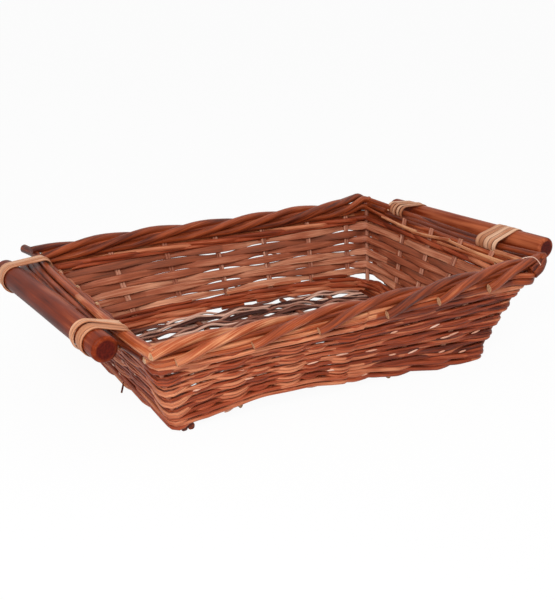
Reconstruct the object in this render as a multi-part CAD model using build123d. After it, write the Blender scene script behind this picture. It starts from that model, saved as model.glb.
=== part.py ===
from build123d import *
import os
from math import asin, atan, atan2, cos, degrees, hypot, radians, sin, sqrt, tan

# A rectangular tray basket of split willow with a rolled border and two tied-on bar handles.
# Millimetres. X runs along the basket, Y across it and Z up. The origin is the middle of the
# base on the floor. Walls are met in travel order, anticlockwise from above: front, right,
# back, left. Along a wall, a share of -1 is its first corner and a share of 1 its last.

# Overall sizes
rim_length = 430.0
rim_width = 282.0
rim_height = 105.0
base_length = 344.0
base_width = 200.0
base_arch = 8.0

# Clearances
seat = 0.3
wale_seat = 0.5
joint_gap = 0.2

# Bends of the woven strips and rods
long_weave_bend = 60.0
short_weave_bend = 25.0
corner_bend = 5.0
free_run_share = 0.45
settle_share = 0.3

# Base sticks
base_stick_diameter = 6.0
end_stick_diameter = 6.4
stick_flat = 0.4
stick_reach = 5.0
inner_stick_count = 5
end_stick_pair = 2

# Base weavers
base_strip_width = 7.0
base_strip_thickness = 1.6
base_strip_gap = 2.6

# Side stakes and corner stakes
stake_diameter = 3.0
stake_pair_gap = 0.2
corner_stake_diameter = 5.0
corner_stake_drop = 5.0
long_stake_shares = (-0.84, -0.56, -0.255, 0.05, 0.355, 0.66)
short_stake_shares = (-0.61, -0.255, 0.10, 0.455)

# Bottom wale, flat weavers and top wale
bottom_wale_diameter = 4.0
bottom_wale_rows = 3
bottom_wale_step = 4.8
top_wale_diameter = 5.0
top_wale_rows = 2
top_wale_step = 5.8
top_wale_drop = 10.3
strip_width = 6.0
strip_thickness = 1.6
strip_rows = 8
row_gap = 0.6

# Border rods
border_rod_diameter = 8.8
long_rod_length = 160.0
short_rod_length = 128.0
border_core_gap = 0.4
border_rod_points = 7
border_bend = 60.0
rod_end_poke = 3.0
butt_setback = 4.0
long_rod_angles = (-40.0, 200.0)
long_corner_rod_angles = (25.0, 183.0)
short_rod_angles = (22.0, 152.0)
short_corner_rod_angles = (35.0, 152.0)
long_rod_stake_count = 1
short_rod_stake_count = 2

# Handle bars
bar_diameter = 22.0
bar_end_setback = 23.0
bar_offset = 24.5
bar_drop = 4.3
bar_end_round = 2.5

# Cane bindings
cane_diameter = 2.4
cane_step = 3.4
cane_inner_reach = 1.5
cane_top_rise = 1.8
cane_under_drop = 6.3
cane_inner_bend = 4.5
cane_tail = 6.0
left_far_share = 0.73
left_near_share = -0.51
right_far_share = 0.65
right_near_share = -0.42
left_far_turn_count = 2
left_near_turn_count = 4
right_far_turn_count = 5
right_near_turn_count = 3

# Sizes that follow
stake_radius = stake_diameter / 2
corner_stake_radius = corner_stake_diameter / 2
rod_radius = border_rod_diameter / 2
core_radius = stake_radius + border_core_gap
track_radius = core_radius + rod_radius
border_radius = track_radius + rod_radius
core_height = rim_height - border_radius
base_half_length = base_length / 2
base_half_width = base_width / 2
core_half_length = rim_length / 2 - border_radius
core_half_width = rim_width / 2 - border_radius
bar_half_length = rim_width / 2 - bar_end_setback
end_stick_axis = end_stick_diameter / 2 - stick_flat
stick_top = end_stick_axis + end_stick_diameter / 2
first_wale_height = stick_top + wale_seat + bottom_wale_diameter / 2
last_wale_height = core_height - top_wale_drop
arch_span = last_wale_height - first_wale_height
bottom_wale_heights = [first_wale_height + row * bottom_wale_step for row in range(bottom_wale_rows)]
top_wale_heights = [last_wale_height - row * top_wale_step for row in range(top_wale_rows)]
weave_bottom = bottom_wale_heights[-1] + bottom_wale_diameter / 2 + row_gap
weave_top = top_wale_heights[-1] - top_wale_diameter / 2 - row_gap
row_pitch = (weave_top - weave_bottom) / strip_rows
strip_heights = [weave_bottom + (row + 1 / 2) * row_pitch for row in range(strip_rows)]

easing_rounds = 5
X_AXIS = Vector(1, 0, 0)
Y_AXIS = Vector(0, 1, 0)
UP = Vector(0, 0, 1)

os.makedirs("parts", exist_ok=True)


class Wall:
    """One leaning wall: its travel direction, its outward direction and its mid plane."""

    def __init__(self, name, along, out, half, core_half, run, core_run, stake_shares):
        self.name = name
        self.along = along
        self.out = out
        self.half = half
        self.core_half = core_half
        self.run = run
        self.core_run = core_run
        self.stake_shares = stake_shares
        self.flare = (core_half - half) / core_height
        self.run_flare = (core_run - run) / core_height
        self.lean = atan(self.flare)
        self.corner_slope = hypot(self.flare, self.run_flare)
        self.is_long = run > half
        self.weave_bend = long_weave_bend if self.is_long else short_weave_bend

    def arch(self, share, height):
        """Rise of a row at a share of the wall: full at the foot, none under the border."""
        if not self.is_long:
            return 0
        fade = (last_wale_height - height) / arch_span
        return base_arch * (1 - share**2) * fade

    def foot(self, share):
        """Rise of the base under the wall."""
        return base_arch * (1 - share**2) if self.is_long else 0

    def point(self, share, height, push=0, shift=0):
        """Point of the mid plane, pushed square to the wall and shifted along it."""
        run = self.run + self.run_flare * height
        half = self.half + self.flare * height
        return self.along * (share * run + shift) + self.out * (half + push / cos(self.lean)) + UP * height

    def core_point(self, place, angle):
        """Point of a border rod's axis, at a place along the wall and an angle round the core."""
        sideways = self.core_half + track_radius * cos(radians(angle))
        level = core_height + track_radius * sin(radians(angle))
        return self.along * place + self.out * sideways + UP * level


def make_walls():
    """The four walls in travel order."""
    long_sizes = (base_half_width, core_half_width, base_half_length, core_half_length, long_stake_shares)
    short_sizes = (base_half_length, core_half_length, base_half_width, core_half_width, short_stake_shares)
    return [
        Wall("front", X_AXIS, -Y_AXIS, *long_sizes),
        Wall("right", Y_AXIS, X_AXIS, *short_sizes),
        Wall("back", -X_AXIS, Y_AXIS, *long_sizes),
        Wall("left", -Y_AXIS, -X_AXIS, *short_sizes),
    ]


def eased_path(points, pushes, bend, passed=0):
    """Straight runs joined by tangent arcs. A point with a push direction moves that way by
    what its arc takes off and by what the path's slant takes off over the half width of the
    thing that it passes, so the path clears that thing by what was asked for."""
    moved = list(points)
    radii = []
    for easing in range(easing_rounds):
        radii = []
        earlier = list(moved)
        for number in range(1, len(points) - 1):
            into = earlier[number] - earlier[number - 1]
            onward = earlier[number + 1] - earlier[number]
            half_turn = radians(into.get_angle(onward)) / 2
            room = free_run_share * min(into.length, onward.length)
            radius = min(bend, room / tan(half_turn))
            slant = (into.normalized() + onward.normalized()).normalized()
            shortfall = radius / cos(half_turn) - radius + passed * abs(slant.dot(pushes[number]))
            moved[number] = points[number] + pushes[number] * shortfall
            radii.append(radius)
    return FilletPolyline(*moved, radius=radii)


def swept_rod(path, diameter):
    """A round rod along a path."""
    start = Plane(origin=path @ 0, z_dir=path % 0)
    return sweep(start * Circle(diameter / 2), path=path).solid()


def swept_strip(path, side, wide, thick, lean=0):
    """A flat strip along a path, its thickness along the side direction, tipped by a lean."""
    start = Plane(origin=path @ 0, x_dir=side, z_dir=path % 0)
    section = start * Rot(0, 0, degrees(lean)) * Rectangle(thick, wide)
    return sweep(section, path=path).solid()


def rod_between(start, end, diameter):
    """A straight round stick between two points."""
    axis = end - start
    return extrude(Plane(origin=start, z_dir=axis) * Circle(diameter / 2), amount=axis.length).solid()


def corner_points(wall, height, side, reach, last):
    """End point and first bends of a row at a wall's corner. The row turns the corner outside
    the corner stake (side 1) or inside it (side -1), and stops half way round. A row outside
    the corner stake runs on along the wall until it is past the stake's middle."""
    away = -1 if last else 1
    radius = reach if side > 0 else corner_bend
    tangent_setback = radius * (1 - tan(radians(45 / 2)))
    middle_setback = radius * (1 - sqrt(1 / 2))
    corner = wall.point(-away, height)
    inward = wall.along * away
    vertex = corner - inward * (side * reach) + wall.out * (side * reach)
    bend_point = vertex + inward * tangent_setback
    end_point = vertex + (inward - wall.out) * middle_setback
    leg = (bend_point - end_point).normalized()
    points = [end_point + leg * (joint_gap / 2), bend_point]
    if side > 0:
        points.append(corner + inward * (settle_share * reach) + wall.out * reach)
    return points


def row_route(wall, height, parity, offset, reach):
    """Points and push directions of one woven row, from corner to corner."""
    start_side = 1 if parity == 0 else -1
    if wall.name in ("right", "left"):
        start_side = -start_side
    points = corner_points(wall, height, start_side, reach, last=False)
    pushes = [Vector()] * len(points)
    for number, share in enumerate(wall.stake_shares):
        side = -start_side if number % 2 == 0 else start_side
        level = height + wall.arch(share, height)
        points.append(wall.point(share, level, push=side * offset))
        pushes.append(wall.out * side)
    last_side = -start_side if len(wall.stake_shares) % 2 == 0 else start_side
    last_points = corner_points(wall, height, last_side, reach, last=True)
    points += reversed(last_points)
    pushes += [Vector()] * len(last_points)
    return points, pushes


def corner_reach(wall, thick, half_height=0):
    """How far from the corner stake's axis a row turns, with the stake and the row leaning."""
    steepness = sqrt(1 + wall.corner_slope**2)
    slope_excess = wall.corner_slope - min(wall.flare, wall.run_flare)
    return (corner_stake_radius + seat + thick / 2) * steepness + half_height * slope_excess


def round_row(wall, height, parity, diameter):
    """One row of round willow, in and out of a wall's stakes."""
    offset = stake_radius + seat + diameter / 2
    reach = corner_reach(wall, diameter)
    points, pushes = row_route(wall, height, parity, offset, reach)
    return swept_rod(eased_path(points, pushes, wall.weave_bend, stake_diameter), diameter)


def flat_row(wall, height, parity):
    """One row of flat split willow, in and out of a wall's stakes."""
    offset = stake_radius + seat + strip_thickness / 2
    reach = corner_reach(wall, strip_thickness, strip_width / 2)
    points, pushes = row_route(wall, height, parity, offset, reach)
    path = eased_path(points, pushes, wall.weave_bend, stake_diameter)
    outward = wall.out - wall.along
    return swept_strip(path, outward, strip_width, strip_thickness, wall.lean)


def stake_pairs(wall):
    """The pairs of thin sticks that stand in a wall, from its foot to the heart of the border."""
    sticks = []
    spread = stake_radius + stake_pair_gap / 2
    for share in wall.stake_shares:
        foot_height = stick_top + seat + wall.foot(share)
        for side in (-1, 1):
            start = wall.point(share, foot_height, shift=side * spread)
            end = wall.point(share, core_height, shift=side * spread)
            sticks.append(rod_between(start, end, stake_diameter))
    return sticks


def corner_stakes(walls):
    """One thicker stick in each corner."""
    foot_height = stick_top + seat
    head_height = core_height - corner_stake_drop
    ends = [(wall.point(-1, foot_height), wall.point(-1, head_height)) for wall in walls]
    return [rod_between(start, end, corner_stake_diameter) for start, end in ends]


def border_rod(wall, start, length, full_length, angles):
    """One border rod: it rises outside the core, passes over it and ends inside. A rod that
    meets a corner early is cut there."""
    steps = border_rod_points - 1
    points = []
    for step in range(border_rod_points):
        distance = length * step / steps
        angle = angles[0] + (angles[1] - angles[0]) * distance / full_length
        points.append(wall.core_point(start + distance, angle))
    path = eased_path(points, [Vector()] * border_rod_points, border_bend)
    return swept_rod(path, border_rod_diameter)


def border_rods(wall):
    """The border rods of one wall. The short walls' rods run over the corners and the long
    walls' rods stop against them."""
    if wall.is_long:
        first_place = -wall.core_run + border_radius + seat
        last_place = -first_place
        full_length = long_rod_length
        corner_angles = long_corner_rod_angles
        angles = long_rod_angles
        stake_count = long_rod_stake_count
    else:
        first_place = -wall.core_run - border_radius - rod_end_poke
        last_place = -first_place - rod_end_poke
        full_length = short_rod_length
        corner_angles = short_corner_rod_angles
        angles = short_rod_angles
        stake_count = short_rod_stake_count
    rods = [border_rod(wall, first_place, full_length, full_length, corner_angles)]
    for stake in range(1, len(wall.stake_shares), stake_count):
        start = wall.stake_shares[stake] * wall.core_run + butt_setback
        length = min(full_length, last_place - start)
        rods.append(border_rod(wall, start, length, full_length, angles))
    return rods


def stick_places():
    """Places along X of the inner sticks, evenly between the end sticks."""
    edge = base_half_length - end_stick_diameter / 2
    step = 2 * edge / (inner_stick_count + 1)
    return [-edge + step * (number + 1) for number in range(inner_stick_count)]


def base_rise(place):
    """Rise of the arched base at a place along X."""
    return base_arch * (1 - (place / base_half_length) ** 2)


def base_sticks():
    """The inner base sticks, each at its height in the arch."""
    reach = base_half_width + stick_reach
    sticks = []
    for place in stick_places():
        height = end_stick_axis + base_rise(place)
        start = Vector(place, -reach, height)
        sticks.append(rod_between(start, Vector(place, reach, height), base_stick_diameter))
    return sticks


def end_sticks(side):
    """The pair of sticks that the basket stands on at one end, shaved flat underneath."""
    reach = base_half_width + stick_reach
    sticks = []
    for number in range(end_stick_pair):
        inset = end_stick_diameter / 2 + number * (end_stick_diameter + seat)
        place = side * (base_half_length - inset)
        start = Vector(place, -reach, end_stick_axis)
        stick = rod_between(start, Vector(place, reach, end_stick_axis), end_stick_diameter)
        block = Box(end_stick_diameter, 2 * reach, end_stick_diameter)
        above_floor = Pos(place, 0, end_stick_diameter / 2) * block
        sticks.append((stick & above_floor).solid())
    return sticks


def base_weavers():
    """Flat strips along the base, over one stick and under the next, ending at the end sticks."""
    pitch = base_strip_width + base_strip_gap
    half_span = base_half_width - base_strip_width / 2
    side_count = int(half_span / pitch)
    end_place = base_half_length - end_stick_pair * (end_stick_diameter + seat)
    offset = base_stick_diameter / 2 + seat + base_strip_thickness / 2
    strips = []
    for row in range(-side_count, side_count + 1):
        across = row * pitch
        points = [Vector(-end_place, across, end_stick_axis)]
        pushes = [Vector()]
        for number, place in enumerate(stick_places()):
            side = 1 if (row + number) % 2 == 0 else -1
            points.append(Vector(place, across, end_stick_axis + base_rise(place) + side * offset))
            pushes.append(UP * side)
        points.append(Vector(end_place, across, end_stick_axis))
        pushes.append(Vector())
        path = eased_path(points, pushes, long_weave_bend)
        strips.append(swept_strip(path, UP, base_strip_width, base_strip_thickness))
    return strips


def handle_bar(side):
    """A round wooden bar beside one short wall, its ends slightly rounded."""
    place = side * (rim_length / 2 + bar_offset)
    height = rim_height - bar_drop
    near_end = Vector(place, -bar_half_length, height)
    far_end = Vector(place, bar_half_length, height)
    bar = rod_between(near_end, far_end, bar_diameter)
    return fillet(bar.edges().filter_by(GeomType.CIRCLE), bar_end_round).solid()


def cane_corners(side):
    """The four corners of one turn of cane, as pairs of distance along X and height: round the
    bar outside, over the border, down inside the wall and back under the border."""
    bar_x = rim_length / 2 + bar_offset
    bar_z = rim_height - bar_drop
    wrap_radius = bar_diameter / 2 + seat + cane_diameter / 2
    inner_x = core_half_length - border_radius - cane_inner_reach
    top = (inner_x, core_height + border_radius + cane_top_rise)
    under = (inner_x, core_height - cane_under_drop)
    outer_x = bar_x + wrap_radius

    def tangent_height(point, turn):
        """Height at outer_x of the line from a point that touches the wrap round the bar."""
        across = bar_x - point[0]
        rise = bar_z - point[1]
        slope = atan2(rise, across) + turn * asin(wrap_radius / hypot(across, rise))
        return point[1] + (outer_x - point[0]) * tan(slope)

    outer_top = (outer_x, tangent_height(top, 1))
    outer_under = (outer_x, tangent_height(under, -1))
    return [(side * x, z) for x, z in (top, under, outer_under, outer_top)]


def binding(side, place, turns):
    """One cane binding: an unbroken strand that goes round the bar and the border, turn by
    turn, each turn a step further along the bar."""
    wrap_radius = bar_diameter / 2 + seat + cane_diameter / 2
    start = place - turns * cane_step / 2
    finish = start + turns * cane_step
    top, under, outer_under, outer_top = cane_corners(side)
    tail_height = top[1] - cane_inner_bend - cane_tail
    points = [Vector(top[0], start, tail_height)]
    radii = []
    for turn in range(turns):
        turn_start = start + turn * cane_step
        turn_middle = turn_start + cane_step / 2
        turn_end = turn_start + cane_step
        points.append(Vector(under[0], turn_start, under[1]))
        points.append(Vector(outer_under[0], turn_middle, outer_under[1]))
        points.append(Vector(outer_top[0], turn_middle, outer_top[1]))
        points.append(Vector(top[0], turn_end, top[1]))
        radii += [cane_inner_bend, wrap_radius, wrap_radius, cane_inner_bend]
    points.append(Vector(top[0], finish, tail_height))
    return FilletPolyline(*points, radius=radii)


def least_gap(path, diameter, samples_per_turn, turns):
    """Least gap of a wound strand to itself, measured on points a turn or more apart."""
    count = samples_per_turn * turns
    points = [path @ (number / count) for number in range(count + 1)]
    apart = samples_per_turn // 2
    distances = []
    for first in range(len(points)):
        for second in range(first + apart, len(points)):
            distances.append((points[first] - points[second]).length)
    return min(distances) - diameter


def save(name, solids):
    """Write one node."""
    shape = solids[0] if len(solids) == 1 else Compound(children=solids)
    export_step(shape, f"parts/{name}.step")


walls = make_walls()

save("base_sticks", base_sticks())
save("base_end_sticks_left", end_sticks(-1))
save("base_end_sticks_right", end_sticks(1))
save("base_weavers", base_weavers())
save("corner_stakes", corner_stakes(walls))
for wall in walls:
    bottom_rods = []
    for row, height in enumerate(bottom_wale_heights):
        bottom_rods.append(round_row(wall, height, row % 2, bottom_wale_diameter))
    strips = []
    for row, height in enumerate(strip_heights):
        strips.append(flat_row(wall, height, (row + bottom_wale_rows) % 2))
    top_rods = []
    for row, height in enumerate(top_wale_heights):
        top_rods.append(round_row(wall, height, row % 2, top_wale_diameter))
    save(f"{wall.name}_stakes", stake_pairs(wall))
    save(f"{wall.name}_bottom_wale", bottom_rods)
    save(f"{wall.name}_weavers", strips)
    save(f"{wall.name}_top_wale", top_rods)
    save(f"{wall.name}_border_rods", border_rods(wall))
save("handle_bar_left", [handle_bar(-1)])
save("handle_bar_right", [handle_bar(1)])

bindings = (
    ("binding_left_far", -1, left_far_share, left_far_turn_count),
    ("binding_left_near", -1, left_near_share, left_near_turn_count),
    ("binding_right_far", 1, right_far_share, right_far_turn_count),
    ("binding_right_near", 1, right_near_share, right_near_turn_count),
)
samples_per_turn = 60
for name, side, share, turns in bindings:
    route = binding(side, share * rim_width / 2, turns)
    save(name, [swept_rod(route, cane_diameter)])
    gap = least_gap(route, cane_diameter, samples_per_turn, turns)
    print(name, "least gap to itself", round(gap, 2), "mm")
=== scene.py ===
"""Looks of a rectangular willow tray basket with two bar handles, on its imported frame.

Sizes here are in millimetres, and become metres when a mesh is made. X runs along the
basket, Y across it and Z up. Walls are met anticlockwise from above: front, right, back, left.
"""

import math
from collections import namedtuple

import bpy
import numpy as np
from mathutils import Matrix


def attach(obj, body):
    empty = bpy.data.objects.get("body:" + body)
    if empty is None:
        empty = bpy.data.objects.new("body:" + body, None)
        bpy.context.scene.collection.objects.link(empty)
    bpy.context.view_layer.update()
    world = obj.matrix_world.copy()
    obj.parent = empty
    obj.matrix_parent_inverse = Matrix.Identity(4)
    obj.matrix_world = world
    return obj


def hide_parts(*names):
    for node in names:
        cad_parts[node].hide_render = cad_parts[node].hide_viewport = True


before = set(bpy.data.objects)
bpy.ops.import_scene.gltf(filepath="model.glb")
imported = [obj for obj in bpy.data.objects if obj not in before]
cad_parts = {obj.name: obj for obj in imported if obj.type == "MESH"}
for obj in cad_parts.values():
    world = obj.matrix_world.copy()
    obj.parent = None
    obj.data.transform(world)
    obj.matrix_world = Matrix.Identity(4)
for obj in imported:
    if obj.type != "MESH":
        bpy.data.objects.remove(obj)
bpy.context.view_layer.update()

MM = 0.001
TURN = 2 * math.pi
UP = (0, 0, 1)

# The walls, as the frame has them
FOOT_HALF_LENGTH = 172.0
FOOT_HALF_WIDTH = 100.0
HEAD_HALF_LENGTH = 204.3
HEAD_HALF_WIDTH = 130.3
HEAD_HEIGHT = 94.3
LONG_FLARE = (HEAD_HALF_WIDTH - FOOT_HALF_WIDTH) / HEAD_HEIGHT
SHORT_FLARE = (HEAD_HALF_LENGTH - FOOT_HALF_LENGTH) / HEAD_HEIGHT
ARCH = 8.0
ARCH_FOOT = 8.5
ARCH_HEAD = 84.0

# Stakes: places on a wall as shares of its half run, and the corners' numbers round the ring
LONG_STAKES = (-0.84, -0.56, -0.255, 0.05, 0.355, 0.66)
SHORT_STAKES = (-0.61, -0.255, 0.10, 0.455)
STAKE_COUNT = 24
CORNER_STAKES = [6, 11, 18, 23]
FRONT_RIGHT, BACK_RIGHT, BACK_LEFT = CORNER_STAKES[:3]
OUTSIDE_ALL = np.ones(STAKE_COUNT)
STAKE_FOOT = 6.5
STAKE_APART = 1.6
CORNER_TOP = 89.3

Wall = namedtuple("Wall", "name along out is_long stakes")
WALLS = (
    Wall("front", (1, 0, 0), (0, -1, 0), True, LONG_STAKES),
    Wall("right", (0, 1, 0), (1, 0, 0), False, SHORT_STAKES),
    Wall("back", (-1, 0, 0), (0, 1, 0), True, LONG_STAKES),
    Wall("left", (0, -1, 0), (-1, 0, 0), False, SHORT_STAKES),
)
FRONT, RIGHT, BACK, LEFT = WALLS
CORNER_SIGNS = ((-1, -1, 0), (1, -1, 0), (1, 1, 0), (-1, 1, 0))

# Corners of the rows: rounded more where a row passes inside the stake, and at the front right
RADIUS_OUTSIDE, RADIUS_INSIDE = 3.0, 9.0
RADIUS_MORE = (3.0, 0.0, 0.0, 0.0)
SIDE_POINTS, CORNER_POINTS = 300, 40

# Rows of flat weaving: their heights, how far they swing at a stake and at a corner, and how
# a strip is moved across behind a stake of the back wall, in turn
ROW_COUNT = 8
ROW_START = 20.7
ROW_PITCH = 6.8
ROW_REACH = 2.7
ROW_CORNER_REACH = 4.7
SLIT_SHIFTS = (-0.95, 0.95, 0.95)
ROW_SEED, OUTER_SEED, PACKING_SEED, BACK_PACKING_SEED = 100, 1000, 1700, 1850

# Border, bars and base, as the frame has them
TRACK = 6.3
BAR_X = 239.5
BAR_Z = 100.7
BAR_RADIUS = 11.0
BAR_HALF_LENGTH = 118.0
BAR_END_ROUND = 2.5
STICK_Z = 2.8
BASE_STICKS = (-112.5, -56.3, 0.0, 56.3, 112.5)
BASE_STICK_REACH = 105.0
END_STICK_INSETS = (3.2, 9.9)
BASE_STRIP_REACH = 158.6
BASE_STRIP_PITCH = 9.6
BASE_EDGE = 101.5
BASE_PERIOD = 330.0

# Strips of the base: swing, half width, tone, sticks to a pattern and shift in pitches. The
# broad strips' low tone is partly painted shade: it darkens the gaps under the thin splits
BROAD_STRIP = (3.3, 3.3, -0.6, 2, 0.0)
THIN_STRIP = (3.0, 2.2, 0.35, 3, 0.05)

# Rods of the long borders: where they begin along the wall, their length, the points' spacing,
# end radii, and the angles that they turn through over ROD_TURNED
FRONT_BUTTS = (-190.3, -121.0, -56.0, 18.0, 79.0, 142.0)
BACK_BUTTS = (-165.0, -110.4, -48.1, 14.2, 76.5, 138.8)
ROD_LENGTH = 215.0
ROD_STEP = 2.5
ROD_PERIOD = 300.0
ROD_BUTT, ROD_TIP = 4.3, 3.0
ROD_FIRST_ANGLE, ROD_LAST_ANGLE = -42.0, 235.0
ROD_TURNED = 158.0

# Where the hand left the rim and the foot: shifts of their corners back left, front left,
# back right and front right
RIM_SHIFTS = ((-1.7, -0.5, 2.7), (0.2, -1.1, -2.3), (-5.0, 3.0, 5.2), (0.6, 2.0, 4.9))
FOOT_SHIFTS = ((-2.5, 0.7, 0.0), (3.6, 3.2, 0.0), (9.0, -3.0, 0.0), (-11.0, -9.5, 0.0))
FRONT_SAG = 4.0
FRONT_FOOT_SKEW = 7.0
SKEW_FADE = 9.0
BACK_CROWN = 2.2
DRAWN_IN = (-4.5, 1.5, 0.0)

# Strands are cut from an endless grain, at a place up to this far along it. Sections of flat
# strips and of thin splits
GRAIN_RUN = 9000.0
FLAT = {"square": 0.5, "crown": 0.5}
THIN = {"square": 0.8, "crown": 0.3}


# ---------------- numbers and shapes


def unit(v):
    """Vectors divided by their lengths."""
    return v / np.linalg.norm(v, axis=-1, keepdims=True)


def smooth(t):
    """Eased step: 3t^2 - 2t^3 for t held between 0 and 1."""
    t = np.clip(t, 0, 1)
    return t * t * (3 - 2 * t)


def bell(x, middle, width):
    """e^-((x - middle) / width)^2."""
    return np.exp(-(((x - middle) / width) ** 2))


def waver(s, period, amount, seed, waves=(1, 2, 3, 5, 8)):
    """Slow wandering that repeats over the period: a sum of sines of the given wave
    numbers, each with a random phase and a height falling as the root of its number."""
    rng = np.random.default_rng(seed)
    total = np.zeros_like(s, dtype=float)
    for wave in waves:
        phase = rng.uniform(0, TURN)
        total += np.sin(TURN * wave * s / period + phase) * rng.uniform(0.4, 1) / math.sqrt(wave)
    return total * amount / math.sqrt(len(waves))


def running_length(path):
    """Distance along a path from its first point to each of its points."""
    steps = np.linalg.norm(np.diff(path, axis=0), axis=1)
    return np.concatenate([[0], np.cumsum(steps)])


def read_along(distance, run, rows):
    """Rows of numbers given at distances of a run, read at other distances."""
    return np.column_stack([np.interp(distance, run, column) for column in rows.T])


def swung(x, marks, offsets):
    """A swing from mark to mark: half the sum of two neighbouring offsets plus half their
    difference times cos(pi u), u being the share of the way from one mark to the next."""
    slot = np.clip(np.searchsorted(marks, x, side="right") - 1, 0, len(marks) - 2)
    u = (x - marks[slot]) / (marks[slot + 1] - marks[slot])
    first, second = offsets[slot], offsets[slot + 1]
    return (first + second) / 2 + (first - second) / 2 * np.cos(math.pi * u)


def closed(values, turn=0.0):
    """Values round a ring, with the last also before the first and the first after the last,
    a turn lower and a turn higher."""
    return np.concatenate([[values[-1] - turn], values, [values[0] + turn]])


def half_sizes(height):
    """Half length and half width of the walls' mid plane at a height."""
    return FOOT_HALF_LENGTH + SHORT_FLARE * height, FOOT_HALF_WIDTH + LONG_FLARE * height


def on_wall(wall, place, away, level):
    """Points at places along a wall, away from the basket's middle, and at levels."""
    return np.outer(place, wall.along) + np.outer(away, wall.out) + np.outer(level, UP)


def arch_rise(x, half_length, height):
    """Rise of a row over the arched base: ARCH (1 - (x / half length)^2), fading to nothing
    at the top row."""
    fade = np.clip((ARCH_HEAD - height) / (ARCH_HEAD - ARCH_FOOT), 0, 1.1)
    return ARCH * np.clip(1 - (x / half_length) ** 2, 0, 1) * fade


def settled(points):
    """The little that the hand leaves out of true. With u and v for X and Y as shares of the
    half sizes and h for the share of the height, a corner's shift is weighed by
    (1 +- u)(1 +- v) / 4, the foot's by 1 - h and the rim's by h. The front rim sags by
    FRONT_SAG (1 - u^2), the left half of the back rim rises by BACK_CROWN sin(-pi u), the
    front right corner is drawn in by 6.75 DRAWN_IN h (1 - h)^2, and the front foot sinks by
    FRONT_FOOT_SKEW (1 - h) sin(pi u), more so to the left and near the right end, which fades
    out below SKEW_FADE."""
    h = np.clip(points[:, 2:] / HEAD_HEIGHT, 0, 1)
    a, b = half_sizes(np.clip(points[:, 2], 0, HEAD_HEIGHT))
    u, v = np.clip(points[:, 0] / a, -1.3, 1.3), np.clip(points[:, 1] / b, -1.3, 1.3)
    corners = [(1 - u) * (1 + v), (1 - u) * (1 - v), (1 + u) * (1 + v), (1 + u) * (1 - v)]
    weights = np.stack(corners, axis=1) / 4
    foot, rim = weights @ np.array(FOOT_SHIFTS), weights @ np.array(RIM_SHIFTS)
    moved = points + foot * (1 - h) + rim * h
    front = smooth((1 - v) / 2)
    moved[:, 2] -= FRONT_SAG * np.clip(1 - u * u, 0, 1) * front * h[:, 0]
    moved[:, 2] += BACK_CROWN * np.sin(math.pi * np.clip(-u, 0, 1)) * (1 - front) * h[:, 0]
    moved += np.array(DRAWN_IN) * weights[:, 3:] ** 2 * 6.75 * h * (1 - h) ** 2
    lean = np.sin(math.pi * np.clip(u, -1, 1)) * np.where(u < 0, 1.25, 1.0)
    lean = lean + 0.75 * smooth((u - 0.4) / 0.5)
    lean *= smooth(points[:, 2] / SKEW_FADE)
    moved[:, 2] -= FRONT_FOOT_SKEW * lean * front * (1 - h[:, 0])
    return moved


# ---------------- meshes


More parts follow.
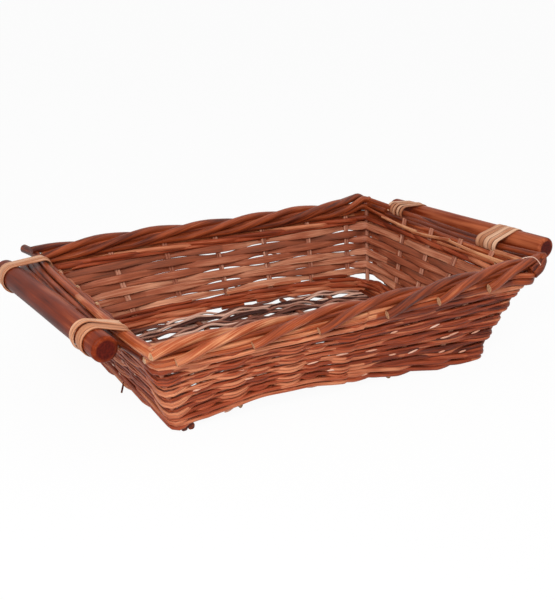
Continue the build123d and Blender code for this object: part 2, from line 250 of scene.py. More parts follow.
class Bundle:
    """Strands gathered into one mesh. Each point has nine numbers: its place, its grain (place
    across, through and along the strand) and its trait (tone, nearness to an edge, cut wood).
    The materials read grain, in metres, and trait."""

    def __init__(self):
        self.rows, self.quads, self.flat, self.count = [], [], [], 0

    def grid(self, rows, loop=False, flat=False):
        """Quads over an n by m grid of points, closed across, and in a loop along too."""
        n, m = rows.shape[:2]
        i = np.arange(n if loop else n - 1)[:, None]
        j = np.arange(m)[None, :]
        ahead, beside = (i + 1) % n, (j + 1) % m
        quads = np.stack([i * m + j, i * m + beside, ahead * m + beside, ahead * m + j], axis=-1)
        self.quads.append(quads.reshape(-1, 4) + self.count)
        self.flat.append(np.full(quads.size // 4, flat))
        self.rows.append(rows.reshape(-1, 9))
        self.count += n * m

    def strand(self, path, out, wide, thick, square=1.0, crown=0.0, sides=10, roll=0.0,
               tone=0.5, offset=0.0, loop=False, cut=(True, True), dome=0.12):
        """A surface carried along a path. The section is x = wide cos(t)|cos(t)|^(square-1),
        y = thick sin(t)|sin(t)|^(square-1), raised outside by crown (1 - (x / wide)^2) and
        turned by roll. y lies along out, one direction or one for each point. Open ends are
        closed by a low dome, pale where the wood is cut."""
        n = len(path)
        ahead = np.roll(path, -1, axis=0) - np.roll(path, 1, axis=0)
        if not loop:
            ahead[0], ahead[-1] = path[1] - path[0], path[-1] - path[-2]
        tangent = unit(ahead)
        out = np.asarray(out, float)
        out = unit(out - tangent * np.sum(out * tangent, axis=1, keepdims=True))
        side = np.cross(out, tangent)
        turn, wide, thick, tone = [np.broadcast_to(np.asarray(value, float), (n,))[:, None]
                                   for value in (roll, wide, thick, tone)]
        cos, sin = np.cos(turn), np.sin(turn)
        side, out = side * cos + out * sin, out * cos - side * sin
        t = (np.arange(sides) + 0.5)[None, :] * TURN / sides
        x = np.sign(np.cos(t)) * np.abs(np.cos(t)) ** square
        y = np.sign(np.sin(t)) * np.abs(np.sin(t)) ** square
        y = y * np.where(y > 0, 1 + crown * (1 - x * x), 1)
        edge = np.abs(x)
        x, y = wide * x, thick * y
        run = running_length(path)[:, None] + offset
        points = path[:, None, :] + side[:, None, :] * x[..., None] + out[:, None, :] * y[..., None]
        looks = np.stack(np.broadcast_arrays(x, y, run, tone, edge, 0.0), axis=-1)
        rows = np.concatenate([points, looks], axis=-1)
        self.grid(rows, loop=loop)
        if not loop:
            self.close_end(rows[0], path[0], tangent[0], -1, dome, cut[0])
            self.close_end(rows[-1], path[-1], tangent[-1], 1, dome, cut[1])

    def close_end(self, ring, middle, tangent, sign, dome, cut):
        """Closes a strand's end: its ring again, a ring at 0.82 of the size and a point, each
        a little further out by dome times the ring's radius. Sign: -1 at the strand's start."""
        spokes = ring[:, :3] - middle
        shares = np.array([1.0, 0.82, 0.0])[:, None, None]
        lift = np.array([0.0, 0.7, 1.0])[:, None, None] * dome
        lift = lift * np.linalg.norm(spokes, axis=1).mean()
        rows = np.repeat(ring[None], 3, axis=0)
        rows[..., :3] = middle + spokes * shares + tangent * sign * lift
        rows[..., 3:5] *= shares
        rows[1:, :, 8] = cut
        self.grid(rows[::sign], flat=True)

    def build(self, name, material, nodes=None):
        """One object of all the strands, at the origin, riding on the frame. It replaces the
        nodes given, or the one of its name."""
        rows, quads = np.concatenate(self.rows), np.concatenate(self.quads)
        points = settled(rows[:, :3]) * MM
        mesh = bpy.data.meshes.new(name)
        mesh.vertices.add(len(points))
        mesh.vertices.foreach_set("co", points.astype(np.float32).ravel())
        mesh.loops.add(quads.size)
        mesh.loops.foreach_set("vertex_index", quads.astype(np.int32).ravel())
        mesh.polygons.add(len(quads))
        mesh.polygons.foreach_set("loop_start", np.arange(0, quads.size, 4, dtype=np.int32))
        mesh.update(calc_edges=True)
        for title, first, scale in (("grain", 3, MM), ("trait", 6, 1)):
            values = rows[:, first:first + 3].astype(np.float32) * np.float32(scale)
            attribute = mesh.attributes.new(title, "FLOAT_VECTOR", "POINT")
            attribute.data.foreach_set("vector", values.ravel())
        flats = mesh.attributes.new("sharp_face", "BOOLEAN", "FACE")
        flats.data.foreach_set("value", np.concatenate(self.flat))
        mesh.materials.append(material)
        mesh.validate()
        piece = bpy.data.objects.new(name, mesh)
        bpy.context.scene.collection.objects.link(piece)
        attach(piece, "root")
        nodes = [name] if nodes is None else nodes
        if nodes:
            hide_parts(*nodes)


# ---------------- materials


class Value:
    """A shader value. Python's arithmetic on it adds Math nodes."""

    def __init__(self, shader, socket):
        self.shader, self.socket = shader, socket

    def math(self, operation, *others):
        return self.shader.node("ShaderNodeMath", {"operation": operation}, [self, *others])

    def __add__(self, other):
        return self.math("ADD", other)

    __radd__ = __add__

    def __sub__(self, other):
        return self.math("SUBTRACT", other)

    def __rsub__(self, other):
        return self.shader.node("ShaderNodeMath", {"operation": "SUBTRACT"}, [other, self])

    def __mul__(self, other):
        return self.math("MULTIPLY", other)

    __rmul__ = __mul__

    def between(self, low, high):
        """0 at low, 1 at high, eased between."""
        inputs = {"Value": self, "From Min": low, "From Max": high}
        return self.shader.node("ShaderNodeMapRange", {"interpolation_type": "SMOOTHSTEP"}, inputs)


class Shader:
    """The nodes of one material or of the world."""

    def __init__(self, owner):
        self.owner = owner
        owner.use_nodes = True
        self.tree = owner.node_tree
        self.tree.nodes.clear()

    def node(self, kind, settings=None, inputs=(), output=0):
        """A node of a type, its settings set first, then its sockets' values or links."""
        made = self.tree.nodes.new(kind)
        for key, value in (settings or {}).items():
            if key == "stops":
                ramp = made.color_ramp
                while len(ramp.elements) < len(value):
                    ramp.elements.new(0.5)
                for element, (place, color) in zip(ramp.elements, value):
                    element.position, element.color = place, color
            else:
                setattr(made, key, value)
        pairs = inputs.items() if isinstance(inputs, dict) else enumerate(inputs)
        for key, value in pairs:
            if isinstance(value, Value):
                self.tree.links.new(value.socket, made.inputs[key])
            else:
                made.inputs[key].default_value = value
        return Value(self, made.outputs[output]) if made.outputs else None

    def parts(self, attribute):
        """The three numbers of a mesh attribute."""
        vector = self.node("ShaderNodeAttribute", {"attribute_name": attribute}, output=1)
        split = self.node("ShaderNodeSeparateXYZ", {}, [vector]).socket.node
        return [Value(self, socket) for socket in split.outputs]

    def blend(self, mask, first, second):
        """Colours mixed by a mask."""
        inputs = {0: mask, 6: first, 7: second}
        return self.node("ShaderNodeMix", {"data_type": "RGBA"}, inputs, output=2)

    def streaks(self, across, along, detail=2.0, rough=0.5, shift=0.0):
        """Noise drawn out along the strand: across and along are pattern sizes in metres."""
        grain = self.node("ShaderNodeAttribute", {"attribute_name": "grain"}, output=1)
        scale = (1 / across, 1 / across, 1 / along)
        stretched = self.node("ShaderNodeVectorMath", {"operation": "MULTIPLY"}, [grain, scale])
        moved = self.node("ShaderNodeVectorMath", {"operation": "ADD"}, [stretched, (shift,) * 3])
        inputs = {"Vector": moved, "Scale": 1.0, "Detail": detail, "Roughness": rough}
        return self.node("ShaderNodeTexNoise", {}, inputs)

    def finish(self, color, roughness, bump, strength, distance, specular):
        """Ends the material in a Principled surface."""
        relief = {"Strength": strength, "Distance": distance, "Height": bump}
        surface = self.node("ShaderNodeBsdfPrincipled", {}, {
            "Base Color": color, "Roughness": roughness,
            "Normal": self.node("ShaderNodeBump", {}, relief), "Specular IOR Level": specular,
        })
        self.node("ShaderNodeOutputMaterial", {}, {"Surface": surface})
        return self.owner


def srgb(r, g, b):
    """A colour of the eye's scale, 0 to 255, as the renderer's linear one, with an alpha of 1."""
    c = np.array([r, g, b]) / 255
    linear = np.where(c <= 0.04045, c / 12.92, ((c + 0.055) / 1.055) ** 2.4)
    return (*(float(v) for v in linear), 1)


def willow(name, dark, middle, light, inner_pale=0.0, crease_shade_and_grain=0.5, cut_color=(215, 165, 120),
           rough=0.5, fibre=0.0007):
    """Stained willow: a tone for each strand, blotches, fine fibres along it, painted shade that
    darkens each strand towards its edges, where it meets its neighbours, mixed with dark lines
    of the grain, a paler split side and pale cut ends."""
    s = Shader(bpy.data.materials.new(name))
    tone, edge, cut = s.parts("trait")
    fine = s.streaks(fibre, 0.05, 4.0, 0.65)
    broad = s.streaks(0.0028, 0.035, shift=7.0)
    blotch = s.streaks(0.02, 0.06, shift=31.0)
    mix = tone * 0.5 + fine * 0.85 + broad * 0.6 + blotch * 0.5 - 0.735
    stops = [(0.04, srgb(*dark)), (0.47, srgb(*middle)), (0.9, srgb(*light))]
    color = s.node("ShaderNodeValToRGB", {"stops": stops}, [mix])
    if inner_pale:
        depth = s.parts("grain")[1]
        color = s.blend(depth.between(0.0002, -0.0002) * inner_pale, color, srgb(*light))
    # Painted shade: each strand darkens towards its edges, in the creases between strands, mixed
    # with dark fibre lines of the grain
    crease_shade_and_grain_mask = edge.between(0.72, 1.0) + fine.between(0.42, 0.30) * 0.7
    color = s.blend(crease_shade_and_grain_mask.math("MINIMUM", 1.0) * crease_shade_and_grain, color, srgb(*dark))
    pith = s.streaks(0.0012, 0.01, shift=3.0).between(0.2, 0.8)
    end = s.blend(pith, srgb(*[c * 0.62 for c in cut_color]), srgb(*cut_color))
    roughness = fine * 0.25 + (rough - 0.12)
    relief = fine + broad * 0.6
    return s.finish(s.blend(cut, color, end), roughness, relief, 0.5, 0.0006, specular=0.22)


def turned_bar(name):
    """Varnished red brown bar: long dark grain and a paler brown bloom."""
    s = Shader(bpy.data.materials.new(name))
    tone, _, cut = s.parts("trait")
    fine = s.streaks(0.0009, 0.07, 4.0, 0.6)
    broad = s.streaks(0.006, 0.12, 3.0, 0.55, shift=11.0)
    blotch = s.streaks(0.03, 0.09, shift=23.0)
    mix = tone * 0.3 + fine * 0.3 + broad * 0.7 + blotch * 0.8 - 0.55
    stops = [(0.2, srgb(62, 14, 5)), (0.5, srgb(122, 44, 16)), (0.8, srgb(190, 102, 64))]
    color = s.node("ShaderNodeValToRGB", {"stops": stops}, [mix])
    rings = s.streaks(0.002, 0.02, shift=5.0).between(0.25, 0.75)
    end = s.blend(rings, srgb(62, 12, 6), srgb(90, 22, 11))
    roughness = fine * 0.2 + 0.32
    return s.finish(s.blend(cut, color, end), roughness, fine, 0.2, 0.0004, specular=0.09)


strip_wood = willow("split_willow", (54, 14, 8), (156, 72, 42), (232, 166, 130), inner_pale=0.1)
outer_wood = willow("outer_willow", (58, 15, 6), (160, 68, 35), (230, 152, 110), crease_shade_and_grain=0.4)
rod_wood = willow("border_willow", (68, 20, 8), (166, 76, 38), (240, 174, 126), crease_shade_and_grain=0.2,
                  cut_color=(228, 176, 134), rough=0.42, fibre=0.0009)
stake_wood = willow("stake_willow", (96, 44, 28), (176, 106, 80), (224, 168, 140), crease_shade_and_grain=0.2)
base_wood = willow("base_willow", (52, 20, 14), (138, 82, 64), (226, 182, 160), inner_pale=0.1)
cane = willow("pale_cane", (112, 56, 32), (196, 130, 92), (244, 202, 168), fibre=0.0005,
              cut_color=(235, 200, 165))
fresh_split = willow("fresh_split", (170, 100, 70), (226, 168, 140), (246, 214, 196),
                     crease_shade_and_grain=0.1, cut_color=(246, 220, 200), fibre=0.0004)
bar_wood = turned_bar("varnished_bar")


# ---------------- woven rows


class Ring:
    """A rounded rectangle met anticlockwise, with a corner radius for each corner in the
    order front right, back right, back left, front left. Distance 0 is the middle of the
    front side. Marks are the distances of the stakes: six, corner, four, corner, six, corner,
    four, corner."""

    def __init__(self, half_length, half_width, radii):
        places, outs, self.middles, marks, middle = [], [], [], [], 0.0
        for number, wall in enumerate(WALLS):
            run, away = (half_length, half_width) if wall.is_long else (half_width, half_length)
            first, last = radii[number - 1], radii[number]
            along, out = np.array(wall.along[:2], float), np.array(wall.out[:2], float)
            t = np.linspace(-(run - first), run - last, SIDE_POINTS)
            places.append(np.outer(t, along) + out * away)
            outs.append(np.tile(out, (SIDE_POINTS, 1)))
            turn = np.linspace(0, math.pi / 2, CORNER_POINTS)[1:-1, None]
            corner_out = out * np.cos(turn) + along * np.sin(turn)
            places.append(along * (run - last) + out * (away - last) + corner_out * last)
            outs.append(corner_out)
            self.middles.append(middle)
            marks += [middle + share * run for share in wall.stakes]
            marks.append(middle + run - last + last * math.pi / 4)
            middle = middle + run - last + last * math.pi / 2 + away - last
        self.marks = np.array(marks)
        rows = np.column_stack([np.concatenate(places), np.concatenate(outs)])
        self.rows = np.vstack([rows, rows[:1]])
        distance = running_length(self.rows[:, :2])
        self.length = distance[-1]
        self.distance = distance - (half_length - radii[-1])

    def at(self, s):
        """Points and outward directions, both flat, at distances s."""
        start = self.distance[0]
        rows = read_along((s - start) % self.length + start, self.distance, self.rows)
        return rows[:, :2], unit(rows[:, 2:])


class Row:
    """A row's path round the walls and its outward directions, at distances s. Signs say
    where it passes: 1 outside a stake, -1 inside. Its push swings from stake to stake by
    reach, and by corner_reach at a corner. It rises over the arched base and wavers in
    height by wobble."""

    def __init__(self, height, signs, reach, corner_reach, seed, wobble=0.5, count=470):
        a, b = half_sizes(height)
        radii = np.where(signs[CORNER_STAKES] > 0, RADIUS_OUTSIDE, RADIUS_INSIDE)
        self.ring = Ring(a, b, radii + RADIUS_MORE)
        self.s = np.linspace(0, self.ring.length, count, endpoint=False)
        self.marks = closed(self.ring.marks, self.ring.length)
        reaches = np.full(STAKE_COUNT, reach)
        reaches[CORNER_STAKES] = corner_reach
        self.push = swung(self.s, self.marks, closed(signs * reaches))
        flat, out = self.ring.at(self.s)
        flare = SHORT_FLARE * np.abs(out[:, 0]) + LONG_FLARE * np.abs(out[:, 1])
        lean = np.arctan(flare)
        rise = arch_rise(flat[:, 0], a, height) + self.waver(wobble, seed, (3, 5, 7, 11, 16))
        sideways = self.push * np.cos(lean) + flare * rise
        level = height + rise - self.push * np.sin(lean)
        self.path = np.column_stack([flat + out * sideways[:, None], level])
        self.out = np.column_stack([out * np.cos(lean)[:, None], -np.sin(lean)])

    def waver(self, amount, seed, waves):
        """A wandering that closes on itself round the row."""
        return waver(self.s, self.ring.length, amount, seed, waves)

    def near(self, corner, width):
        """e^-(d / width)^2, d being the distance from a corner's stake."""
        return bell(self.s, self.ring.marks[corner], width)

    def beside(self, across, away=0.0):
        """The path moved across, square to it along the wall, and away along its outward
        directions."""
        tangent = unit(np.roll(self.path, -1, axis=0) - np.roll(self.path, 1, axis=0))
        side = unit(np.cross(self.out, tangent))
        across, away = np.asarray(across)[..., None], np.asarray(away)[..., None]
        return self.path + side * across + self.out * away

    def tone(self, seed):
        """A strip's own tone, changed where one strip follows another, with slow drifts. Across
        the front wall it carries painted light falloff, lighter at the left and darker towards the
        right: within 178 mm of its middle the tone shifts by 0.1 - 0.34 smooth((s + 120) / 240)."""
        rng = np.random.default_rng(seed)
        length = self.ring.length
        joints = np.sort(rng.uniform(0, length, 3))
        tones = rng.uniform(0.05, 0.95, 4)
        tones[3] = tones[0]
        place = (self.s + length / 2) % length - length / 2
        # Painted light falloff: the front wall lighter at the left and darker towards the right
        painted_falloff = (0.1 - 0.34 * smooth((place + 120) / 240)) * (np.abs(place) < 178)
        drift = self.waver(0.22, seed + 5, (6, 9, 13, 20, 31))
        return tones[np.searchsorted(joints, self.s)] + drift + painted_falloff

    def past_front(self, begin, end):
        """Numbers of the points from distance begin, past the front middle, to distance end."""
        return np.concatenate([np.flatnonzero(self.s > begin), np.flatnonzero(self.s < end)])


def wall_nodes(kind):
    """The frame's four nodes of a kind, one for each wall."""
    return [f"{wall.name}_{kind}" for wall in WALLS]


def wall_row(number, count):
    """A row of the weaving, its slits and its pinch. Slits: how far it draws back from its
    neighbours inside the back wall, e^-((x - 15) / 100)^2, and in every other row
    0.8 e^-((x - 165) / 25)^2 besides. Pinch: that times smooth(push / reach)."""
    height = ROW_START + (number + 0.5) * ROW_PITCH
    signs = np.where((np.arange(STAKE_COUNT) + number) % 2, 1.0, -1.0)
    row = Row(height, signs, ROW_REACH, ROW_CORNER_REACH, ROW_SEED + number, count=count)
    x = row.path[:, 0]
    slits = (bell(x, 15, 100) + 0.8 * (number % 2) * bell(x, 165, 25)) * (row.out[:, 1] > 0.5)
    return row, slits, smooth(row.push / ROW_REACH) * slits


def weave_rows():
    """Eight rows of flat split willow, 3.55 + 0.65 (push / reach)^2 to each side, wavering in
    width and tilt, narrower by 1.9 times the pinch and moved across by SLIT_SHIFTS times it.
    At the back right corner the lowest strip arches up by 0.6 e^-(d / 11)^2, narrower by twice
    that."""
    bundle = Bundle()
    for number in range(ROW_COUNT):
        row, _, pinch = wall_row(number, 470)
        seed = ROW_SEED + number
        corner = row.near(BACK_RIGHT, 11.0) * (number == 0)
        wide = 3.55 + 0.65 * np.clip(row.push / ROW_REACH, -1, 1) ** 2
        wide = wide + row.waver(0.3, seed + 40, (4, 7, 12, 19))
        wide -= 1.9 * pinch + 1.2 * corner
        path = row.beside(pinch * SLIT_SHIFTS[number % 3] + 0.6 * corner)
        roll = row.waver(0.14, seed + 80, (6, 11, 17, 23))
        bundle.strand(path, row.out, wide, 0.85, **FLAT, sides=12, roll=roll,
                      tone=row.tone(seed), offset=number * 1500.0, loop=True)
    bundle.build("weaver_rows", strip_wood, wall_nodes("weavers"))


def outer_splits():
    """Thin splits that lie over the rows outside, two to a row, each wandering a little. In the
    back wall they draw together with the row, by its slits."""
    bundle = Bundle()
    for number in range(ROW_COUNT):
        row, slits, pinch = wall_row(number, 430)
        for side in (-1, 1):
            seed = OUTER_SEED + number * 10 + side
            across = side * 1.85 + row.waver(0.75, seed, (5, 9, 14, 22, 30))
            across = across * (1 - 0.75 * slits) + pinch * SLIT_SHIFTS[number % 3]
            away = 1.25 + row.waver(0.45, seed + 2, (7, 12, 18, 27))
            wide = 1.85 - 0.8 * slits + row.waver(0.3, seed + 4, (6, 10, 17))
            bundle.strand(row.beside(across, away), row.out, wide, 1.0, **THIN, sides=9,
                          tone=row.tone(seed), offset=number * 1900.0 + side * 700, loop=True)
    bundle.build("outer_splits", outer_wood, nodes=())


# Splits inside the back wall, some of which run on into the short walls: height, and where
# they begin and end along the wall, from the right
BACK_PACKING = (
    (20.9, 150, 100), (21.2, 86, -12), (20.6, -52, -176), (77.4, 180, -178), (6.0, 385, 24),
    (5.4, 8, -20), (6.2, -38, -385), (12.6, 250, -174),
)


def packing_split(bundle, row, path, order, wide, thick, seed, offset, loop=False):
    """A thin split along the points of a path that order names."""
    bundle.strand(path[order], row.out[order], wide, thick, **THIN, sides=8,
                  tone=row.tone(seed)[order], offset=offset, loop=loop)


def packing_splits():
    """Thin splits packed along each joint between rows, crossing one another as they waver:
    two outside, from the back left corner by the front to the back right one, or all round at
    the top, and one inside the left and front walls. Short ones lie inside the back wall, the
    lowest dipping by 2.5 e^-(d / 18)^2 at the back right corner."""
    bundle = Bundle()
    inside = {"reach": -2.4, "corner_reach": -3.0}
    for joint in range(ROW_COUNT + 1):
        height = ROW_START + joint * ROW_PITCH
        whole = joint == ROW_COUNT
        for number in range(2):
            seed = PACKING_SEED + joint * 10 + number
            row = Row(height, OUTSIDE_ALL, 2.6, 3.4, seed, wobble=0.6, count=400)
            across = (number - 0.5) * 1.6 + row.waver(1.5, seed + 2, (5, 9, 13, 21, 29))
            path = row.beside(across, row.waver(0.8, seed + 3, (7, 12, 19, 26)))
            wide = 1.5 + row.waver(0.3, seed + 4, (6, 10, 17))
            order = np.arange(len(row.s))
            if not whole:
                end = row.ring.marks[BACK_RIGHT] - (30 if joint < 2 else 5)
                order = row.past_front(row.ring.marks[BACK_LEFT], end)
            packing_split(bundle, row, path, order, wide[order], 1.0, seed, seed * 13.0, whole)
        row = Row(height, OUTSIDE_ALL, **inside, seed=seed + 5, wobble=0.6, count=400)
        order = row.past_front(*row.ring.marks[[BACK_LEFT, FRONT_RIGHT]])
        packing_split(bundle, row, row.path, order, 1.9, 1.0, seed + 5, seed * 17.0)
    for number, (height, first, last) in enumerate(BACK_PACKING):
        seed = BACK_PACKING_SEED + number * 10
        row = Row(height, OUTSIDE_ALL, **inside, seed=seed, count=800)
        path = row.beside(row.waver(0.8, seed + 2, (9, 13, 21, 29)))
        path[:, 2] -= 2.5 * row.near(BACK_RIGHT, 18.0) * (height < 15)
        here = row.s - row.ring.middles[WALLS.index(BACK)]
        order = np.flatnonzero((here > -first) & (here < -last))
        packing_split(bundle, row, path, order, 1.9, 1.1, seed, seed * 13.0)
    bundle.build("packing_splits", outer_wood, nodes=())


def wale_rows(name, bands, thick, seed):
    """Three-rod waling: each rod passes outside two stakes and inside the third, and the
    three follow one another a stake apart, stacked like a rope. Bands: height and dip of each
    rope, which dips by dip e^-(d / 15)^2 at the back right corner."""
    bundle = Bundle()
    for band, (height, dip) in enumerate(bands):
        for rod in range(3):
            step = (np.arange(STAKE_COUNT) + rod) % 3
            signs = np.where(step == 0, -1.0, 1.0)
            row = Row(height, signs, 1.8 + thick, 4.0 + thick / 2, seed + rod, wobble=0.3)
            levels = np.array([0.0, 0.85, -0.85])[step] * thick
            row.path[:, 2] += np.interp(row.s, row.marks, closed(levels))
            row.path[:, 2] -= dip * row.near(BACK_RIGHT, 15.0)
            wide = thick * (1 + row.waver(0.1, seed + 60 + rod, (5, 9, 14)))
            number = band * 3 + rod
            bundle.strand(row.path, row.out, wide, thick * 0.9, sides=9,
                          tone=row.tone(seed * 7 + number), offset=number * 1700.0, loop=True)
    bundle.build(name, outer_wood, wall_nodes(name))


weave_rows()
outer_splits()
packing_splits()
wale_rows("bottom_wale", ((9.4, 2.8), (16.0, 5.4)), thick=2.3, seed=300)
wale_rows("top_wale", ((80.5, 0.0),), thick=2.7, seed=400)


# ---------------- sticks


def sticks(name, material, seed, ends, count, radii, sides, tones, outs=UP, bow=0.0, along=UP,
           standing=False):
    """Round sticks from start to end, each bowed along a direction by up to bow sin(pi t), t
    being the share of its length. Standing ones are flat underneath and show no cut ends."""
    bundle = Bundle()
    rng = np.random.default_rng(seed)
    t = np.linspace(0, 1, count)[:, None]
    for (start, end), out in zip(np.array(ends, float), np.resize(outs, (len(ends), 3))):
        path = start + (end - start) * t
        if bow:
            path += np.array(along, float) * rng.uniform(-bow, bow) * np.sin(math.pi * t)
        bundle.strand(path, out, *radii, sides=sides, tone=rng.uniform(*tones),
                      offset=rng.uniform(0, GRAIN_RUN), cut=(not standing, not standing))
    if standing:
        for rows in bundle.rows:
            rows[:, 2] = np.maximum(rows[:, 2], 0)
    bundle.build(name, material)


def stake_ends(wall):
    """Feet and heads of a wall's pairs of stakes. In a long wall the feet stand on the arch:
    they rise by ARCH (1 - share^2)."""
    ends = []
    for share in wall.stakes:
        foot = STAKE_FOOT + (ARCH * (1 - share**2) if wall.is_long else 0)
        z = np.array([foot, HEAD_HEIGHT])
        run, away = half_sizes(z) if wall.is_long else half_sizes(z)[::-1]
        ends += [on_wall(wall, share * run + shift, away, z)
                 for shift in (-STAKE_APART, STAKE_APART)]
    return ends


def corner_ends():
    """Feet and heads of the corner stakes."""
    z = np.array([STAKE_FOOT, CORNER_TOP])
    a, b = half_sizes(z)
    return [np.column_stack([x * a, y * b, z]) for x, y, _ in CORNER_SIGNS]


def base_rise(x):
    """Rise of the arched base: ARCH (1 - (x / foot half length)^2)."""
    return ARCH * (1 - (x / FOOT_HALF_LENGTH) ** 2)


def across_base(x, z):
    """Ends of a stick across the base."""
    return [(x, y, z) for y in (-BASE_STICK_REACH, BASE_STICK_REACH)]


for number, wall in enumerate(WALLS):
    sticks(f"{wall.name}_stakes", stake_wood, 500 + number, stake_ends(wall), count=24,
           radii=(1.5, 1.45), sides=10, tones=(0.2, 0.9), outs=wall.out, bow=0.3,
           along=wall.along)
sticks("corner_stakes", stake_wood, 540, corner_ends(), count=20, radii=(2.5, 2.5), sides=12,
       tones=(0.2, 0.7), outs=CORNER_SIGNS)
sticks("base_sticks", stake_wood, 560,
       [across_base(x, STICK_Z + base_rise(x)) for x in BASE_STICKS], count=30,
       radii=(2.6, 2.4), sides=12, tones=(-0.1, 0.4), bow=0.5, along=(1, 0, 0))
for name, sign in (("left", -1), ("right", 1)):
    ends = [across_base(sign * (FOOT_HALF_LENGTH - inset), STICK_Z) for inset in END_STICK_INSETS]
    sticks(f"base_end_sticks_{name}", rod_wood, 570 + sign, ends, count=30, radii=(3.2, 3.2),
           sides=14, tones=(-0.5, -0.2), standing=True)


# ---------------- base strips


def base_strips():
    """Strips along the base: twenty-one broad ones, over one stick and under the next, and two
    thin splits after each, over one stick and under two, which ripple besides by
    0.6 + sin(2 pi x / 37.5 + 2.1 place). One more split closes the front edge."""
    bundle = Bundle()
    marks = np.array([-BASE_STRIP_REACH, *BASE_STICKS, BASE_STRIP_REACH])
    x = np.linspace(-BASE_STRIP_REACH, BASE_STRIP_REACH, 110)
    for place in range(-31, 33):
        row, thin = place // 3, place % 3
        rng = np.random.default_rng(600 + place)
        reach, half_width, tone, step, shift = THIN_STRIP if thin else BROAD_STRIP
        over = (np.arange(len(BASE_STICKS)) + row + thin) % step == 0
        swing = np.array([0.0, *np.where(over, 1.0, -1.0), 0.0]) * reach
        push = swung(x, marks, swing)
        if thin:
            push = push + 0.6 + np.sin(TURN * x / 37.5 + 2.1 * place)
        y = (row + 0.31 * thin + shift) * BASE_STRIP_PITCH
        y = y + waver(x, BASE_PERIOD, 1.2, 720 + place, (1, 3, 5, 8, 12))
        y = np.clip(y, -BASE_EDGE, BASE_EDGE)
        path = np.column_stack([x, y, STICK_Z + base_rise(x) + push])
        wide = half_width + waver(x, BASE_PERIOD, 0.4, 840 + place, (2, 4, 6, 9))
        roll = waver(x, BASE_PERIOD, 0.32, 960 + place, (2, 5, 8, 11))
        bundle.strand(path, UP, wide, 0.75, square=0.6, crown=0.6, roll=roll,
                      tone=tone + rng.uniform(0, 1.0), offset=rng.uniform(0, GRAIN_RUN))
    bundle.build("base_weavers", base_wood)


base_strips()


# ---------------- rolled border


def border_rod(bundle, wall, start, seed, angle, turned, lift, rise, shade):
    """One border rod, winding round the border's core. At distance t from its butt it lies
    track cos(angle) outside and track sin(angle) above the core. The angle grows evenly from
    the one given to ROD_LAST_ANGLE at the distance turned, the butt stands out by
    lift e^-(t / 24)^2, and the rod thins from butt to tip. What lies past the wall's ends is
    cut off. At the wall's start it stands higher by rise, and in the back border dips by 5."""
    front = wall is FRONT
    rng = np.random.default_rng(seed)
    t = np.linspace(0, ROD_LENGTH, int(ROD_LENGTH / ROD_STEP))
    before, after = HEAD_HALF_LENGTH + (8.0 if front else 3.5), HEAD_HALF_LENGTH + 12.0
    t = t[(start + t >= -before) & (start + t <= after)]
    place = start + t
    angle = np.radians(angle + (ROD_LAST_ANGLE - angle) * np.clip(t / turned, 0, 1))
    track = TRACK + lift * bell(t, 0, 24.0) + waver(t, ROD_PERIOD, 0.5, seed, (1, 2, 3, 5))
    level = HEAD_HEIGHT + track * np.sin(angle)
    level = level + rise * smooth((place + HEAD_HALF_LENGTH) / -40.0 + 1)
    if not front:
        level -= 5.0 * smooth((np.abs(place) - HEAD_HALF_LENGTH + 13) / 14.0) * (place < 0)
    path = on_wall(wall, place, HEAD_HALF_WIDTH + track * np.cos(angle), level)
    outs = on_wall(wall, 0 * t, np.cos(angle), np.sin(angle))
    radius = ROD_BUTT + (ROD_TIP - ROD_BUTT) * smooth(t / 260.0)
    radius = radius + waver(t, ROD_PERIOD, 0.2, seed + 1, (2, 3, 5))
    tone = rng.uniform(0.15, 0.95) + waver(t, ROD_PERIOD, 0.2, seed + 2, (1, 3, 5, 8)) - shade
    bundle.strand(path, outs, radius, radius * 0.96, sides=16, tone=tone,
                  offset=rng.uniform(0, GRAIN_RUN), cut=(True, front))


def long_border(wall, starts, seed, rise, shade):
    """The border rods of a long wall over its core. Some begin before the wall does, to fill
    its start."""
    bundle = Bundle()
    front = wall is FRONT
    place = np.linspace(-HEAD_HALF_LENGTH, HEAD_HALF_LENGTH, 90)
    level = HEAD_HEIGHT + waver(place, 500.0, 0.6, seed)
    core = on_wall(wall, place, HEAD_HALF_WIDTH, level)
    bundle.strand(core, UP, 4.2, 4.2, tone=0.1, offset=seed * 11.0)
    begin = -HEAD_HALF_LENGTH + (-7.0 if front else 10.0)
    first_shade = shade - (0.22 if front else 0.12)
    for number, earlier in enumerate((160, 105, 50)):
        border_rod(bundle, wall, begin - earlier, seed + 300 + number, ROD_FIRST_ANGLE,
                   ROD_TURNED, 4.0, rise, first_shade)
    border_rod(bundle, wall, begin, seed, 20.0, 123.0, 1.5, rise, first_shade)
    for number, start in enumerate(starts):
        # Painted light falloff: the front rods darken towards the right, as the front wall does
        darker = (start + 110) / 330 if front else min((start + 60) / 700, 0.06)
        border_rod(bundle, wall, start, seed + 10 * (number + 1), ROD_FIRST_ANGLE, ROD_TURNED,
                   4.6, rise, shade + darker)
    bundle.build(f"{wall.name}_border_rods", rod_wood)


def through(points, count=70):
    """A smooth path by a few points: straight runs between them, evened out twice by a running
    mean of eleven points, with the ends kept."""
    points = np.array(points, float)
    run = running_length(points)
    path = read_along(np.linspace(0, run[-1], count), run, points)
    for _ in range(2):
        padded = np.pad(path, ((5, 5), (0, 0)), mode="reflect", reflect_type="odd")
        path = sum(padded[k:k + count] for k in range(11)) / 11
    return path


